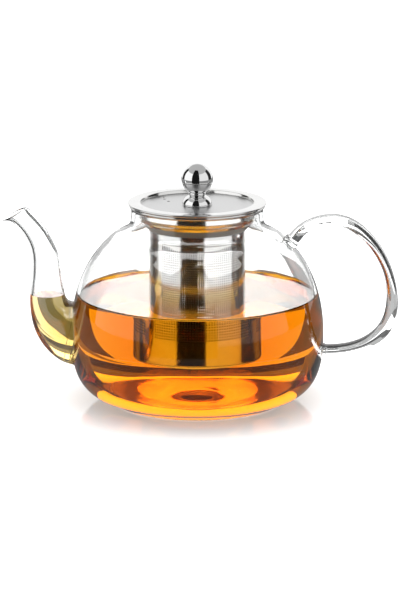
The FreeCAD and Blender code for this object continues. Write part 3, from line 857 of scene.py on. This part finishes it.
sector("table_back_left", 191, 214, 0.047, 0.25, 0.0003, 0.27, **through)
sector("table_back_right", 146, 169, 0.047, 0.25, 0.0003, 0.20, **through)
sector("table_back_far", 146, 214, 0.75, 1.19, 0.0003, 0.10, **through)
# a grey card behind the handle
glow("card", [(0.080, 0.07, 0.0004), (0.135, 0.07, 0.0004), (0.135, 0.45, 0.0004), (0.080, 0.45, 0.0004)], [(0, 1, 2, 3)], 0.50, 1.0, **through)
n = 48
disc = [(math.cos(2 * math.pi * i / n), math.sin(2 * math.pi * i / n)) for i in range(n)]
glow("ceiling", [(1.05 * x, 1.05 * y, 1.0) for x, y in disc], [tuple(range(n))], 0.55, 1.0, glossy=True)
glow("ceiling_through", [(1.2 * x, 1.2 * y, 1.25) for x, y in disc], [tuple(range(n))], 0.45, 1.0, **through)
glow("ceiling_lamp", [(0.72 * x, 0.72 * y, 1.24) for x, y in disc], [tuple(range(n))], 1.0, 7.5, **through)
glow("floor_dim", [(3 * x, 3 * y, -0.0001) for x, y in disc], [tuple(range(n))], 0.30, 1.0, glossy=True)

# floor: white and glossy, made to glow as painted light; near the pot its colour is darker and warm, painted shade
# tinted like the tea's reflection, its glow is dimmer there as painted shade, and a painted pool of light glows under
# the pot's foot
fm = bpy.data.materials.new("floor_painted_light")
fm.use_nodes = True
nt = fm.node_tree
fb = nt.nodes["Principled BSDF"]
fb.inputs["IOR"].default_value = 1.6
fb.inputs["Roughness"].default_value = 0.05
tc = nt.nodes.new("ShaderNodeTexCoord")
ln = nt.nodes.new("ShaderNodeVectorMath")
ln.operation = "LENGTH"
nt.links.new(tc.outputs["Object"], ln.inputs[0])


def radial(r0, r1, v0, v1):
    mr = nt.nodes.new("ShaderNodeMapRange")
    mr.interpolation_type = "SMOOTHSTEP"
    for k, v in (("From Min", r0), ("From Max", r1), ("To Min", v0), ("To Max", v1)):
        mr.inputs[k].default_value = v
    nt.links.new(ln.outputs["Value"], mr.inputs["Value"])
    return mr.outputs["Result"]


# painted shade: near the pot the floor's own colour is darker and warm, tinted like the tea's reflection
floor_shade_painted = nt.nodes.new("ShaderNodeMix")
floor_shade_painted.data_type = "RGBA"
floor_shade_painted.inputs[6].default_value = (0.58, 0.53, 0.51, 1)
floor_shade_painted.inputs[7].default_value = (0.9, 0.9, 0.9, 1)
nt.links.new(radial(0.055, 0.105, 0.0, 1.0), floor_shade_painted.inputs[0])
nt.links.new(floor_shade_painted.outputs[2], fb.inputs["Base Color"])
fb.inputs["Emission Color"].default_value = (1, 1, 1, 1)
# painted glow: the floor emits light, less near the pot as painted shade, and most in a painted pool of light under
# the pot's foot
floor_glow_painted = nt.nodes.new("ShaderNodeMath")
floor_glow_painted.operation = "ADD"
nt.links.new(radial(0.055, 0.110, 0.30, 0.70), floor_glow_painted.inputs[0])
nt.links.new(radial(0.036, 0.050, 1.0, 0.0), floor_glow_painted.inputs[1])
nt.links.new(floor_glow_painted.outputs[0], fb.inputs["Emission Strength"])
n = 96
fv = [(0, 0, 0)] + [(3.0 * math.cos(2 * math.pi * i / n), 3.0 * math.sin(2 * math.pi * i / n), 0) for i in range(n)]
fme = bpy.data.meshes.new("floor")
fme.from_pydata([(x, y, -0.00005) for x, y, _ in fv], [], [(0, 1 + i, 1 + (i + 1) % n) for i in range(n)])
floor = bpy.data.objects.new("floor", fme)
fme.materials.append(fm)
scene.collection.objects.link(floor)
floor.visible_glossy = False

# camera
AIM = Vector((1.55, 0, 56.25)) * MM
ELEV, DIST = math.radians(13.8), 1.845
cam_data = bpy.data.cameras.new("camera")
cam_data.lens, cam_data.sensor_width = 200, 36
cam_data.clip_end = 20
cam = bpy.data.objects.new("camera", cam_data)
cam.location = AIM + Vector((0, -math.cos(ELEV), math.sin(ELEV))) * DIST
cam.rotation_euler = (math.pi / 2 - ELEV, 0, 0)
scene.collection.objects.link(cam)
scene.camera = cam

scene.view_settings.view_transform = "Standard"
scene.view_settings.look = "None"
cyc = scene.cycles
cyc.max_bounces = 24
cyc.transmission_bounces = 24
cyc.glossy_bounces = 8
cyc.diffuse_bounces = 3
cyc.transparent_max_bounces = 16
cyc.use_denoising = True
cyc.sample_clamp_indirect = 8.0

bpy.context.view_layer.update()
